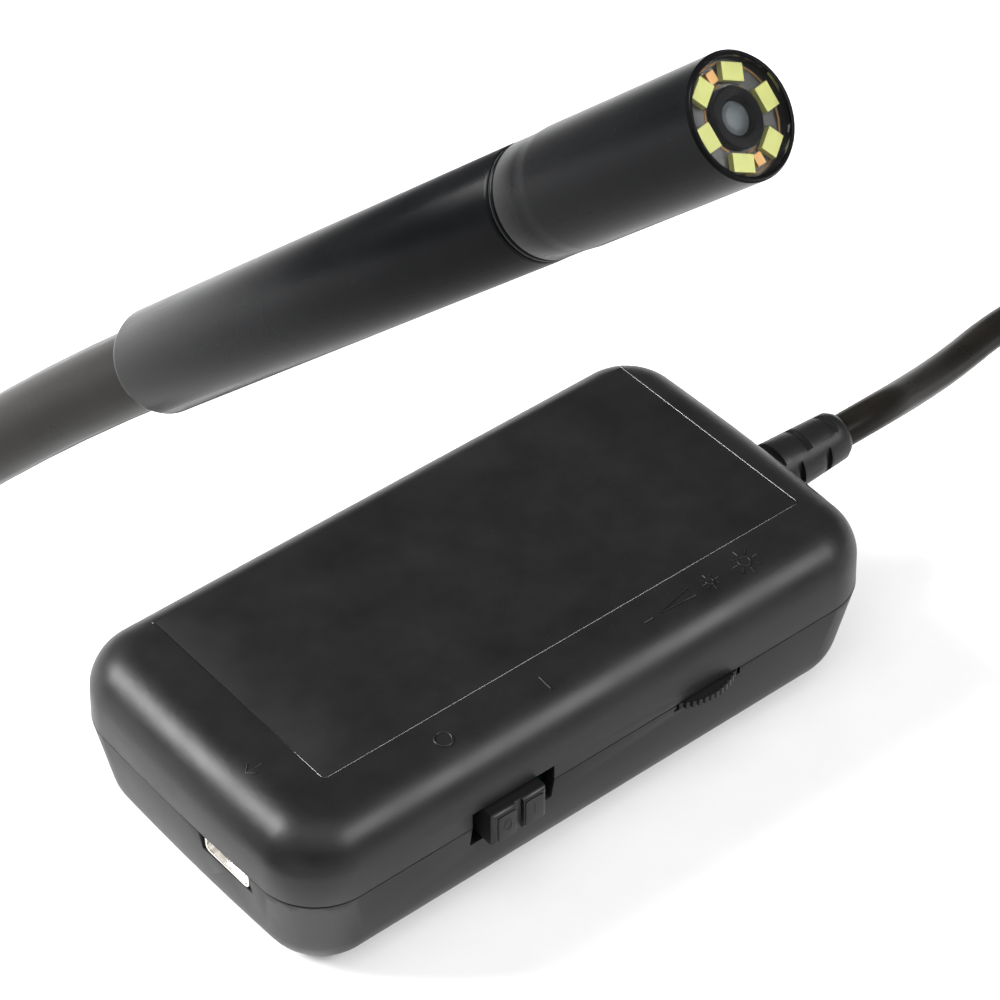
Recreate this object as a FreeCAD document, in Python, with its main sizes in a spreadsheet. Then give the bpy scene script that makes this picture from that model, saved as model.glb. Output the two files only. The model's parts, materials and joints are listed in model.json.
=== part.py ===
import FreeCAD, Part
import math
import os
import Sketcher

# Pocket inspection camera: a small control box with a power slider, a brightness wheel and a
# micro-USB socket, and a slim waterproof camera head on two metres of form-holding cable.
# The origin is the middle of the box's bottom face. X runs along the box towards the cable,
# -Y is the long side that carries the slider and the wheel, and Z is up.

Vector = FreeCAD.Vector
doc = FreeCAD.newDocument("InspectionCamera")
sheet = doc.addObject("Spreadsheet::Sheet", "Sizes")

SIZES = [
    # control box
    ("case_length", 80.0, "over the crowns of the two bowed ends"),
    ("case_width", 41.8, ""),
    ("case_height", 22.0, ""),
    ("end_bow", 0.6, "how far each end wall bows out"),
    ("corner_radius", 7.3, "upright corners"),
    ("seam_height", 13.2, "where the two covers meet"),
    ("top_round", 5.4, "rounding of the top edges"),
    ("bottom_round", 6.6, "rounding of the bottom edges"),
    ("side_draft", 9.0, "taper of the lower cover, degrees"),
    ("wall_size", 1.6, ""),
    ("seam_gap", 0.12, "shadow line between the covers"),
    # top panel
    ("panel_left", -30.4, ""),
    ("panel_right", 34.3, ""),
    ("panel_front", -12.45, ""),
    ("panel_depth", 0.25, ""),
    # slider
    ("slider_middle", -12.9, "off position"),
    ("slider_travel", 2.0, ""),
    ("slider_slot_low", 10.2, ""),
    ("slider_slot_high", 15.2, ""),
    ("knob_width", 7.2, ""),
    ("knob_height", 4.4, ""),
    ("knob_proud", 1.5, "out of the wall"),
    ("flange_gap", 0.55, "between the wall and the knob's flange"),
    ("flange_size", 0.6, "thickness of the knob's flange"),
    # brightness wheel
    ("wheel_place", 14.2, "along the box"),
    ("wheel_inset", 5.9, "axis, in from the long wall"),
    ("wheel_radius", 7.1, ""),
    ("wheel_thickness", 0.9, ""),
    ("wheel_low", 12.3, "underside of the wheel"),
    ("wheel_gap", 0.3, "round the wheel in its slot"),
    ("wheel_play", 0.15, "above and below the wheel"),
    ("pin_radius", 0.9, ""),
    ("pin_clearance", 0.05, ""),
    # board
    ("board_low", 9.55, ""),
    ("board_thickness", 1.2, ""),
    # cable and its sleeve
    ("cable_size", 4.1, "diameter"),
    ("relief_base", 1.45, "rubber round the cable at the wall"),
    ("relief_tip", 0.8, "rubber round the cable at the tip"),
    ("relief_reach", 12.5, "out of the end wall"),
    # camera head
    ("head_size", 5.4, "diameter"),
    ("head_length", 45.0, ""),
    ("sleeve_size", 5.3, "diameter"),
    ("sleeve_length", 31.3, ""),
    ("tube_wall", 0.35, ""),
    # coil
    ("coil_radius", 23.0, "middle of its turns"),
    ("coil_columns", 3.0, "turns side by side"),
    ("coil_layers", 4.0, "turns on top of each other"),
]
for row, (alias, value, note) in enumerate(SIZES, start=1):
    sheet.set("A%d" % row, alias.replace("_", " "))
    sheet.set("B%d" % row, str(value))
    sheet.set("C%d" % row, note)
    sheet.setAlias("B%d" % row, alias)
doc.recompute()


def size(alias):
    """The value of one driving dimension."""
    return float(getattr(sheet, alias))


def named(text):
    """An expression with every alias read from the sheet."""
    words = []
    word = ""
    for letter in text + " ":
        if letter.isalnum() or letter in "_.":
            word += letter
            continue
        words.append("Sizes." + word if word in ALIASES else word)
        words.append(letter)
        word = ""
    return "".join(words).strip()


ALIASES = {alias for alias, value, note in SIZES}
PARTS = []
ALONG_X = FreeCAD.Rotation(Vector(0, 1, 0), 90)
NO_TURN = FreeCAD.Rotation()


def keep(thing, label):
    """Mark a document object as a finished sub-part."""
    thing.Label = label
    PARTS.append(thing)
    return thing


# ---------------------------------------------------------------- primitives


def box(name, sizes, corner):
    """A block: three size expressions and three expressions for its lowest corner."""
    block = doc.addObject("Part::Box", name)
    for side, text in zip(("Length", "Width", "Height"), sizes):
        block.setExpression(side, named(str(text)))
    for axis, text in zip("xyz", corner):
        block.setExpression("Placement.Base." + axis, named(str(text)))
    return block


def rod(name, radius, height, base, turn=NO_TURN):
    """A cylinder that starts at base and runs along the turned Z axis."""
    cylinder = doc.addObject("Part::Cylinder", name)
    cylinder.Placement = FreeCAD.Placement(Vector(), turn)
    cylinder.setExpression("Radius", named(str(radius)))
    cylinder.setExpression("Height", named(str(height)))
    for axis, text in zip("xyz", base):
        cylinder.setExpression("Placement.Base." + axis, named(str(text)))
    return cylinder


def fused(name, pieces):
    """One solid, or one set of equal solids, made of several pieces."""
    union = doc.addObject("Part::MultiFuse", name)
    union.Shapes = pieces
    return union


def less(name, base, tools):
    """The base with the tools cut away."""
    cut = doc.addObject("Part::Cut", name)
    cut.Base = base
    cut.Tool = tools[0] if len(tools) == 1 else fused(name + "Tools", tools)
    return cut


def softened(name, base, radius, chosen):
    """The base with the edges that chosen(edge) picks rounded."""
    doc.recompute()
    rounded = doc.addObject("Part::Fillet", name)
    rounded.Base = base
    numbers = [i for i, edge in enumerate(base.Shape.Edges, start=1) if chosen(edge)]
    rounded.Edges = [(i, radius, radius) for i in numbers]
    return rounded


def upright(edge):
    """Is the edge a straight one along Z?"""
    if not isinstance(edge.Curve, Part.Line):
        return False
    return abs(edge.Curve.Direction.z) > 0.999


# ---------------------------------------------------------------- bodies with sketches


def new_body(name):
    return doc.addObject("PartDesign::Body", name)


def plane_of(body, role):
    for feature in body.Origin.OriginFeatures:
        if feature.Role == role:
            return feature


def new_sketch(body, name, role="XY_Plane", offset=None):
    """A sketch on one of the body's own planes, raised by the offset expression."""
    sketch = body.newObject("Sketcher::SketchObject", name)
    sketch.AttachmentSupport = [(plane_of(body, role), "")]
    sketch.MapMode = "FlatFace"
    if offset is not None:
        sketch.setExpression("AttachmentOffset.Base.z", named(offset))
    return sketch


def value_of(text):
    """An expression's value, worked out from the sheet."""
    return float(sheet.evalExpression(named(str(text))))


def pin_point(sketch, geometry, end, across, upward):
    """Hold one point of a sketch at two expressions."""
    for kind, text in (("DistanceX", across), ("DistanceY", upward)):
        index = sketch.addConstraint(
            Sketcher.Constraint(kind, -1, 1, geometry, end, value_of(text))
        )
        sketch.setExpression("Constraints[%d]" % index, named(str(text)))


def draw_polygon(sketch, corners):
    """A closed outline of straight lines through corners given as pairs of expressions."""
    points = [Vector(value_of(x), value_of(y), 0) for x, y in corners]
    first = sketch.GeometryCount
    count = len(points)
    for i in range(count):
        sketch.addGeometry(Part.LineSegment(points[i], points[(i + 1) % count]), False)
    for i in range(count):
        sketch.addConstraint(
            Sketcher.Constraint("Coincident", first + i, 2, first + (i + 1) % count, 1)
        )
    for i, (x, y) in enumerate(corners):
        pin_point(sketch, first + i, 1, x, y)


def draw_circle(sketch, across, upward, radius):
    """A circle with its centre and radius held by expressions."""
    centre = Vector(value_of(across), value_of(upward), 0)
    index = sketch.addGeometry(
        Part.Circle(centre, Vector(0, 0, 1), value_of(radius)), False
    )
    pin_point(sketch, index, 3, across, upward)
    held = sketch.addConstraint(Sketcher.Constraint("Radius", index, value_of(radius)))
    sketch.setExpression("Constraints[%d]" % held, named(str(radius)))


def draw_bowed(sketch, inset):
    """The box's outline: straight long sides and ends that bow out, moved in by inset."""
    inset = str(inset)
    crown = value_of("case_length / 2 - %s" % inset)
    side = value_of("case_length / 2 - end_bow - %s" % inset)
    half = value_of("case_width / 2 - %s" % inset)
    sketch.addGeometry(Part.LineSegment(Vector(-side, -half, 0), Vector(side, -half, 0)))
    sketch.addGeometry(
        Part.Arc(Vector(side, -half, 0), Vector(crown, 0, 0), Vector(side, half, 0))
    )
    sketch.addGeometry(Part.LineSegment(Vector(side, half, 0), Vector(-side, half, 0)))
    sketch.addGeometry(
        Part.Arc(Vector(-side, half, 0), Vector(-crown, 0, 0), Vector(-side, -half, 0))
    )
    corners = [(0, 1, "-", "-"), (0, 2, "", "-"), (2, 1, "", ""), (2, 2, "-", "")]
    for line, end, sign_x, sign_y in corners:
        across = "%s(case_length / 2 - end_bow - %s)" % (sign_x, inset)
        upward = "%s(case_width / 2 - %s)" % (sign_y, inset)
        pin_point(sketch, line, end, across, upward)
    joins = [(0, 2, 1, 1), (1, 2, 2, 1), (2, 2, 3, 1), (3, 2, 0, 1)]
    for join in joins:
        sketch.addConstraint(Sketcher.Constraint("Coincident", *join))
    bow = "((case_width / 2 - %s) ^ 2 + end_bow ^ 2) / (2 * end_bow)" % inset
    for arc in (1, 3):
        held = sketch.addConstraint(Sketcher.Constraint("Radius", arc, value_of(bow)))
        sketch.setExpression("Constraints[%d]" % held, named(bow))


def add_pad(body, name, sketch, length, down=False):
    pad = body.newObject("PartDesign::Pad", name)
    pad.Profile = sketch
    pad.Reversed = down
    pad.setExpression("Length", named(str(length)))
    doc.recompute()
    return pad


def add_pocket(body, name, sketch, length, upward=False):
    """A pocket; the side that removes material is found by comparing volumes."""
    before = body.Shape.Volume
    pocket = body.newObject("PartDesign::Pocket", name)
    pocket.Profile = sketch
    pocket.Reversed = upward
    pocket.setExpression("Length", named(str(length)))
    doc.recompute()
    if not pocket.Shape.Volume < before - 1e-6:
        raise RuntimeError(name + " removes nothing")
    return pocket


def add_fillet(body, name, radius, chosen):
    """Round the edges of the body's tip that chosen(edge) picks."""
    base = body.Tip
    names = [
        "Edge%d" % i for i, edge in enumerate(base.Shape.Edges, start=1) if chosen(edge)
    ]
    fillet = body.newObject("PartDesign::Fillet", name)
    fillet.Base = (base, names)
    fillet.setExpression("Radius", named(str(radius)))
    doc.recompute()
    return fillet


def turned(label, corners, place=None):
    """A body of revolution about Z from (radius, height) corners."""
    body = new_body(label.title().replace("_", ""))
    sketch = new_sketch(body, body.Name + "Profile", "XZ_Plane")
    draw_polygon(sketch, corners)
    revolution = body.newObject("PartDesign::Revolution", body.Name + "Turn")
    revolution.Profile = sketch
    revolution.ReferenceAxis = (sketch, ["V_Axis"])
    revolution.Angle = 360
    doc.recompute()
    if place is not None:
        body.Placement = place
    return keep(body, label)


def at_level(level, tolerance=0.02):
    """Picks edges that lie wholly at one height."""
    return lambda edge: (
        abs(edge.BoundBox.ZMin - level) < tolerance
        and abs(edge.BoundBox.ZMax - level) < tolerance
    )


def outer_corner(edge):
    """Picks the four upright corners of a cover."""
    return edge.BoundBox.ZLength > 3


# ---------------------------------------------------------------- covers

BOSS_X = "case_length / 2 - 12"
BOSS_Y = "case_width / 2 - 11.6"
BOSSES = [
    ("-(%s)" % BOSS_X, "-(%s)" % BOSS_Y),
    ("-(%s)" % BOSS_X, BOSS_Y),
    (BOSS_X, BOSS_Y),
    (BOSS_X, "-(%s)" % BOSS_Y),
]
BOARD_RESTS = [("13 - case_length / 2", 3), ("case_length / 2 - 13", 3)]
BOSS_RADIUS = 2.6
POST_RADIUS = 2.3
REST_RADIUS = 2.0
USB_MIDDLE = -7.5
USB_WIDTH = 8.2
USB_HEIGHT = 2.35


def cover_block(name, upper, inset):
    """A tapered, rounded block on one side of the seam, moved in by inset all round."""
    body = new_body(name)
    sign = "+" if upper else "-"
    outline = new_sketch(body, name + "Outline", offset="seam_height %s seam_gap / 2" % sign)
    draw_bowed(outline, inset)
    rise = "case_height - seam_height - seam_gap / 2" if upper else "seam_height - seam_gap / 2"
    block = add_pad(body, name + "Pad", outline, "%s - %s" % (rise, inset), down=not upper)
    block.setExpression("TaperAngle", named("-1" if upper else "-side_draft"))
    doc.recompute()
    add_fillet(body, name + "Corners", "corner_radius - %s" % inset, outer_corner)
    edge_round = "top_round" if upper else "bottom_round"
    far = value_of("case_height - %s" % inset if upper else inset)
    soft = "%s - %s * 0.8" % (edge_round, inset)
    add_fillet(body, name + "Edges", soft, at_level(far))
    return body


def shaft_set(name, places, radius, low, height):
    """Equal upright cylinders at a list of places."""
    rods = []
    for i, (x, y) in enumerate(places):
        rods.append(rod("%s%d" % (name, i), radius, height, (x, y, low)))
    return rods


def cover(label, upper):
    """One cover: a hollow shell with its bosses, slots and openings."""
    name = "TopCover" if upper else "BottomCover"
    outer = cover_block(name + "Outer", upper, "0")
    core = cover_block(name + "Core", upper, "wall_size")
    shell = less(name + "Shell", outer, [core])
    if upper:
        low = "seam_height + seam_gap / 2"
        added = shaft_set(
            name + "Post", BOSSES, POST_RADIUS, low, "case_height - seam_height - 1"
        )
    else:
        low = "seam_height - seam_gap / 2"
        added = shaft_set(name + "Boss", BOSSES, BOSS_RADIUS, 1, low + " - 1")
        added += shaft_set(name + "Rest", BOARD_RESTS, REST_RADIUS, 1, "board_low - 1")
    solid = fused(name + "Solid", [shell] + added)

    slider = box(
        name + "SliderSlot",
        (
            "knob_width + slider_travel + 1.7", 6.0,
            "slider_slot_high - slider_slot_low",
        ),
        (
            "slider_middle - knob_width / 2 - 1.5", "-case_width / 2 - 2.6",
            "slider_slot_low",
        ),
    )
    wheel = rod(
        name + "WheelSlot", "wheel_radius + wheel_gap", "wheel_thickness + 2 * wheel_play",
        ("wheel_place", WHEEL_AXIS, "wheel_low - wheel_play"),
    )
    relief = rod(
        name + "ReliefHole", "cable_size / 2 + relief_base - 0.6", 8,
        ("case_length / 2 - 5", 0, "seam_height"), ALONG_X,
    )
    tools = [slider, wheel, relief]
    if upper:
        tools.append(
            box(
                name + "Panel",
                ("panel_right - panel_left", "case_width", 2),
                ("panel_left", "panel_front", "case_height - panel_depth"),
            )
        )
        tools += shaft_set(name + "Pilot", BOSSES, 0.8, "seam_height - 1", 6.2)
    else:
        tools.append(
            box(
                name + "UsbSlot", (6, USB_WIDTH, USB_HEIGHT + 2),
                ("-case_length / 2 - 2.6", USB_MIDDLE - USB_WIDTH / 2, BOARD_TOP + " - 0.3"),
            )
        )
        tools += shaft_set(name + "ScrewHead", BOSSES, 2.1, -1, SCREW_HEAD_TOP + 1)
        tools += shaft_set(name + "ScrewShank", BOSSES, 1.1, -1, "seam_height + 4")
        tools += shaft_set(name + "RestPilot", BOARD_RESTS, 0.6, "board_low - 4", 8)
    return keep(less(name, solid, tools), label)


BOARD_TOP = "(board_low + board_thickness)"
WHEEL_AXIS = "(wheel_inset - case_width / 2)"
SCREW_HEAD_TOP = 5.0
SCREW_HEAD_HEIGHT = 1.5
cover("bottom_cover", False)
cover("top_cover", True)


def pan_screws(label, places, low, length, shank, head, head_height, downward=False):
    """A set of equal pan-head screws that stand on their heads, or hang from them."""
    pieces = []
    for i, (x, y) in enumerate(places):
        body_low = "%s + %s" % (low, head_height) if not downward else "%s - %s" % (low, length)
        head_low = low
        pieces.append(rod("%sHead%d" % (label, i), head, head_height, (x, y, head_low)))
        pieces.append(rod("%sShank%d" % (label, i), shank, length, (x, y, body_low)))
    drives = []
    for i, (x, y) in enumerate(places):
        recess = "%s + %s - 0.5" % (low, head_height) if downward else "%s - 0.1" % low
        for turn, (wide, deep) in enumerate(((1.6, 0.4), (0.4, 1.6))):
            drives.append(
                box(
                    "%sDrive%d%d" % (label, i, turn),
                    (wide, deep, 0.6),
                    ("%s - %s" % (x, wide / 2), "%s - %s" % (y, deep / 2), recess),
                )
            )
    return keep(less(label + "Cut", fused(label + "All", pieces), drives), label)


pan_screws(
    "case_screws", BOSSES, SCREW_HEAD_TOP - SCREW_HEAD_HEIGHT, 12.5, 0.95, 1.9, SCREW_HEAD_HEIGHT
)

# ---------------------------------------------------------------- circuit board

BOARD_LEFT = "(3.3 - case_length / 2)"
SWITCH_FRONT = "(wall_size + flange_gap + flange_size + 0.25 - case_width / 2)"


def main_board():
    plate = box(
        "BoardPlate",
        ("case_length - 9.4", "-2 * %s" % SWITCH_FRONT, "board_thickness"),
        (BOARD_LEFT, SWITCH_FRONT, "board_low"),
    )
    plate = softened("BoardRound", plate, 3.5, upright)
    holes = []
    for i, (x, y) in enumerate(BOSSES):
        holes.append(rod("BoardNotch%d" % i, 2.9, 4, (x, y, "board_low - 1")))
    for i, (x, y) in enumerate(BOARD_RESTS):
        holes.append(rod("BoardHole%d" % i, 0.8, 4, (x, y, "board_low - 1")))
    return keep(less("MainBoard", plate, holes), "main_board")


main_board()
pan_screws("board_screws", BOARD_RESTS, BOARD_TOP, 4, 0.6, 1.4, 0.9, downward=True)


def part_block(label, sizes, corner, radius=0.0):
    """A plain moulded block, with its upright edges rounded when radius is given."""
    block = box(label.title().replace("_", ""), sizes, corner)
    if radius:
        block = softened(label.title().replace("_", "") + "Round", block, radius, upright)
    return keep(block, label)


# battery on the floor of the lower cover
part_block("battery_pad", (40, 20, 0.5), (-19, -9, "wall_size"))
part_block("battery_cell", (46, 25, 5.4), (-22, -12, "wall_size + 0.5"), 2.4)
part_block("battery_tape", (6, 25.4, 0.25), (-21.5, -12.2, "wall_size + 5.9"))

# radio module with its shield and the aerial strip along the back wall
part_block("radio_board", (14, 12, 0.8), (10.5, 5, BOARD_TOP))
part_block("radio_shield", (10.5, 10.6, 2.0), (11.1, 5.7, BOARD_TOP + " + 0.8"), 0.6)
part_block("aerial_strip", (26, 0.25, 5.0), (-24, "case_width / 2 - wall_size - 0.7", 11.6))

# chips
part_block("video_chip", (8, 8, 0.9), (-2, 3, BOARD_TOP))
part_block("memory_chip", (6, 5, 1.3), (-12, 6, BOARD_TOP))
part_block("charge_chip", (4.9, 3.9, 1.4), (-28, -5, BOARD_TOP))
part_block("clock_crystal", (5.0, 3.2, 0.9), (-2, 13, BOARD_TOP), 0.4)
part_block("power_coil", (4.2, 4.2, 2.0), (-22, -9, BOARD_TOP), 0.8)


def row_of_blocks(label, count, first, step, sizes):
    """Equal small blocks in a row on the board."""
    blocks = []
    for i in range(count):
        corner = (first[0] + i * step[0], first[1] + i * step[1], BOARD_TOP)
        blocks.append(box("%s%d" % (label.title().replace("_", ""), i), sizes, corner))
    return keep(fused(label.title().replace("_", "") + "Row", blocks), label)


row_of_blocks("board_capacitors", 6, (-17.0, 1.0), (2.6, 0.0), (1.6, 0.8, 0.8))
row_of_blocks("board_resistors", 7, (-20.0, 13.6), (2.2, 0.0), (1.2, 0.6, 0.4))
part_block("status_light", (1.6, 0.8, 0.6), ("6.5 - case_length / 2", 4.0, BOARD_TOP))


def micro_usb():
    """The socket: a bent-metal shell, the tongue inside it and its five contacts."""
    left = "0.5 - case_length / 2"
    outer = box("UsbOuter", (5.6, 7.5, USB_HEIGHT), (left, USB_MIDDLE - 3.75, BOARD_TOP))
    outer = softened("UsbOuterRound", outer, 0.8, runs_along_x)
    inner = box(
        "UsbInner",
        (5.3, 6.9, USB_HEIGHT - 0.5),
        (left + " - 0.2", USB_MIDDLE - 3.45, BOARD_TOP + " + 0.25"),
    )
    inner = softened("UsbInnerRound", inner, 0.6, runs_along_x)
    keep(less("UsbShell", outer, [inner]), "usb_shell")
    part_block(
        "usb_tongue",
        (4.1, 3.7, 0.5),
        (left + " + 1.0", USB_MIDDLE - 1.85, BOARD_TOP + " + 1.2"),
    )
    contacts = []
    for i in range(5):
        corner = (left + " + 1.1", USB_MIDDLE - 1.45 + 0.65 * i, BOARD_TOP + " + 1.1")
        contacts.append(box("UsbContact%d" % i, (3.8, 0.3, 0.1), corner))
    keep(fused("UsbContactRow", contacts), "usb_contacts")


def runs_along_x(edge):
    """Is the edge a straight one along X?"""
    return isinstance(edge.Curve, Part.Line) and abs(edge.Curve.Direction.x) > 0.999


micro_usb()


def power_switch():
    """The slide switch: metal frame, insulating base and terminals on the board."""
    left = "slider_middle - 3.6"
    outer = box("FrameOuter", (9.6, 4.2, 4.2), (left, SWITCH_FRONT, BOARD_TOP))
    cavity = box(
        "FrameCavity", (9.0, 3.6, 3.9), (left + " + 0.3", SWITCH_FRONT + " + 0.3", BOARD_TOP)
    )
    window = box(
        "FrameWindow",
        (5.4, 2, 2.2),
        (left + " + 2.1", SWITCH_FRONT + " - 0.6", BOARD_TOP + " + 1.5"),
    )
    keep(less("SwitchFrame", outer, [cavity, window]), "switch_frame")
    part_block(
        "switch_base", (9.0, 3.6, 1.0), (left + " + 0.3", SWITCH_FRONT + " + 0.3", BOARD_TOP)
    )
    legs = []
    for i in range(3):
        corner = (left + " + %s" % (2.1 + 2.4 * i), SWITCH_FRONT + " + 1.9", "board_low - 0.9")
        legs.append(box("SwitchLeg%d" % i, (0.5, 0.4, "board_thickness + 0.9"), corner))
    keep(fused("SwitchLegs", legs), "switch_terminals")


power_switch()


def slider():
    """The sliding knob, with its grooved face, and the lever it pushes in the switch."""
    body = new_body("SliderKnob")
    face = new_sketch(body, "KnobFace", "XZ_Plane", "case_width / 2 - wall_size - flange_gap")
    left = "slider_middle - knob_width / 2"
    right = "slider_middle + knob_width / 2"
    middle = "(slider_slot_low + slider_slot_high) / 2"
    low = middle + " - knob_height / 2"
    high = middle + " + knob_height / 2"
    draw_polygon(face, [(left, low), (right, low), (right, high), (left, high)])
    add_pad(body, "KnobPad", face, "wall_size + flange_gap + knob_proud")
    front = -size("case_width") / 2 - size("knob_proud")
    add_fillet(
        body, "KnobRound", "0.6",
        lambda edge: edge.BoundBox.YMax < front + 0.02,
    )
    flange_back = "case_width / 2 - wall_size - flange_gap - flange_size"
    flange = new_sketch(body, "KnobFlange", "XZ_Plane", flange_back)
    draw_polygon(
        flange,
        [
            (left + " - 1.4", low + " - 0.5"),
            (right + " + 1.4", low + " - 0.5"),
            (right + " + 1.4", high + " + 0.6"),
            (left + " - 1.4", high + " + 0.6"),
        ],
    )
    add_pad(body, "KnobFlangePad", flange, "flange_size")
    groove = new_sketch(body, "KnobGroove", "XZ_Plane", "case_width / 2 + knob_proud + 0.1")
    draw_polygon(
        groove,
        [
            ("slider_middle - 0.45", low + " - 1"),
            ("slider_middle + 0.45", low + " - 1"),
            ("slider_middle + 0.45", high + " + 1"),
            ("slider_middle - 0.45", high + " + 1"),
        ],
    )
    add_pocket(body, "KnobGrooveCut", groove, "0.6")
    keep(body, "slider_knob")
    corner = ("slider_middle - 1", "-(%s)" % flange_back, BOARD_TOP + " + 1.8")
    part_block("switch_lever", (2.0, 2.6, 1.5), corner)


slider()

# ---------------------------------------------------------------- brightness wheel

WHEEL_TEETH = 60


def dimmer():
    """The dimmer: fixed base and pin, turning rotor and knurled wheel."""
    x, y = "wheel_place", WHEEL_AXIS
    base_height = "wheel_low - %s - 0.35" % BOARD_TOP
    base = rod("DimmerBaseDisc", 3.8, base_height, (x, y, BOARD_TOP))
    bore = rod("DimmerBaseBore", "pin_radius", 4, (x, y, BOARD_TOP + " - 1"))
    keep(less("DimmerBase", base, [bore]), "dimmer_base")
    pin_height = "wheel_low + wheel_thickness + 0.9 - %s" % BOARD_TOP
    foot = rod("DimmerPinRod", "pin_radius", pin_height, (x, y, BOARD_TOP))
    head = rod("DimmerPinHead", 1.7, 0.5, (x, y, BOARD_TOP + " + " + pin_height))
    keep(fused("DimmerPin", [foot, head]), "dimmer_pin")
    rotor = rod("RotorOuter", 2.6, "wheel_thickness + 0.9", (x, y, "wheel_low - 0.2"))
    hole = rod("RotorHole", "pin_radius + pin_clearance", 6, (x, y, "wheel_low - 1"))
    keep(less("DimmerRotor", rotor, [hole]), "dimmer_rotor")
    legs = []
    for i in range(3):
        corner = ("wheel_place - 2.7 + %s" % (2.5 * i), WHEEL_AXIS + " + 3.4", "board_low - 0.9")
        legs.append(box("DimmerLeg%d" % i, (0.4, 0.4, "board_thickness + 0.9"), corner))
    keep(fused("DimmerLegs", legs), "dimmer_terminals")

    body = new_body("DimmerWheel")
    disc = new_sketch(body, "WheelDisc", offset="wheel_low")
    draw_circle(disc, "0", "0", "wheel_radius")
    draw_circle(disc, "0", "0", "2.6")
    add_pad(body, "WheelPad", disc, "wheel_thickness")
    notch = new_sketch(body, "WheelNotch", offset="wheel_low + wheel_thickness")
    deep = "wheel_radius - 0.25"
    edge = "wheel_radius + 0.15"
    draw_polygon(notch, [(deep, "0"), (edge, "-0.3"), (edge, "0.3")])
    add_pocket(body, "WheelNotchCut", notch, "wheel_thickness + 1")
    first = body.Tip
    pattern = body.newObject("PartDesign::PolarPattern", "WheelTeeth")
    pattern.Originals = [first]
    pattern.Axis = (disc, ["N_Axis"])
    pattern.Angle = 360
    pattern.Occurrences = WHEEL_TEETH
    body.Tip = pattern
    doc.recompute()
    body.setExpression("Placement.Base.x", named("wheel_place"))
    body.setExpression("Placement.Base.y", named(WHEEL_AXIS))
    keep(body, "dimmer_wheel")


dimmer()

# ---------------------------------------------------------------- cable entry


def cable_entry():
    """Board socket, plug, inner wires, crimp collar and the slotted sleeve at the wall."""
    wall = "case_length / 2"
    part_block("cable_header", (3.4, 7.4, 2.6), (wall + " - 15.4", -6.2, BOARD_TOP))
    part_block("cable_plug", (2.6, 6.4, 1.9), (wall + " - 12", -5.7, BOARD_TOP + " + 0.5"))
    wires = []
    for i in range(4):
        start = Vector(
            value_of(wall + " - 9.4"), -4.6 + 1.4 * i, value_of(BOARD_TOP + " + 1.4")
        )
        finish = Vector(value_of(wall + " - 6"), -1.2 + 0.8 * i, size("seam_height"))
        wires.append(straight_tube("InnerWire%d" % i, start, finish, 0.28))
    keep(fused("InnerWires", wires), "inner_wires")
    collar_foot = (wall + " - 5.9", 0, "seam_height")
    collar = rod("CollarOuter", "cable_size / 2 + 0.45", 2.2, collar_foot, ALONG_X)
    hole = rod("CollarHole", "cable_size / 2", 4, (wall + " - 7", 0, "seam_height"), ALONG_X)
    keep(less("CableCollar", collar, [hole]), "cable_collar")
    start = (wall + " - 6.2", 0, "seam_height")
    keep(rod("CableStub", "cable_size / 2", "relief_reach + 6.2", start, ALONG_X), "cable_stub")


def straight_tube(name, start, finish, radius):
    """A wire that runs straight between two points."""
    run = finish - start
    wire = doc.addObject("Part::Cylinder", name)
    wire.Radius = radius
    wire.Height = run.Length
    wire.Placement = FreeCAD.Placement(start, FreeCAD.Rotation(Vector(0, 0, 1), run))
    return wire


cable_entry()


def strain_relief():
    """A tapered rubber sleeve along X with pairs of slots, each pair a quarter turn on."""
    place = FreeCAD.Placement(
        Vector(size("case_length") / 2, 0, size("seam_height")), ALONG_X
    )
    bore = "cable_size / 2"
    root = "cable_size / 2 + relief_base"
    tip = "cable_size / 2 + relief_tip"
    body = new_body("StrainRelief")
    sketch = new_sketch(body, "ReliefProfile", "XZ_Plane")
    draw_polygon(
        sketch,
        [
            (bore, "-3.4"),
            (root + " + 1", "-3.4"),
            (root + " + 1", "-wall_size - 0.8"),
            (root + " - 0.65", "-wall_size - 0.8"),
            (root + " - 0.65", "0.05"),
            (root, "0.05"),
            (tip + " + 0.1", "relief_reach - 0.9"),
            (tip + " - 0.3", "relief_reach - 0.2"),
            (tip + " - 0.7", "relief_reach"),
            (bore, "relief_reach"),
        ],
    )
    turn = body.newObject("PartDesign::Revolution", "ReliefTurn")
    turn.Profile = sketch
    turn.ReferenceAxis = (sketch, ["V_Axis"])
    turn.Angle = 360
    doc.recompute()
    for i in range(RELIEF_SLOTS):
        role = "YZ_Plane" if i % 2 else "XZ_Plane"
        for side in (-1, 1):
            slot = new_sketch(body, "ReliefSlot%d%d" % (i, side + 1), role)
            low = "%s + relief_reach * %s" % (RELIEF_FIRST, RELIEF_STEP * i)
            inner = "%d * (cable_size / 2 + 0.45)" % side
            outer = "%d * (%s + 3)" % (side, root)
            high = low + " + " + str(RELIEF_GAP)
            draw_polygon(slot, [(inner, low), (outer, low), (outer, high), (inner, high)])
            name = "ReliefSlotCut%d%d" % (i, side + 1)
            pocket = add_pocket(body, name, slot, "(%s) * 1.36" % root)
            pocket.Midplane = True
            doc.recompute()
    body.Placement = place
    return keep(body, "strain_relief")


RELIEF_SLOTS = 5
RELIEF_FIRST = 1.5
RELIEF_STEP = 0.17
RELIEF_GAP = 0.9
strain_relief()

# ---------------------------------------------------------------- cable

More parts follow.
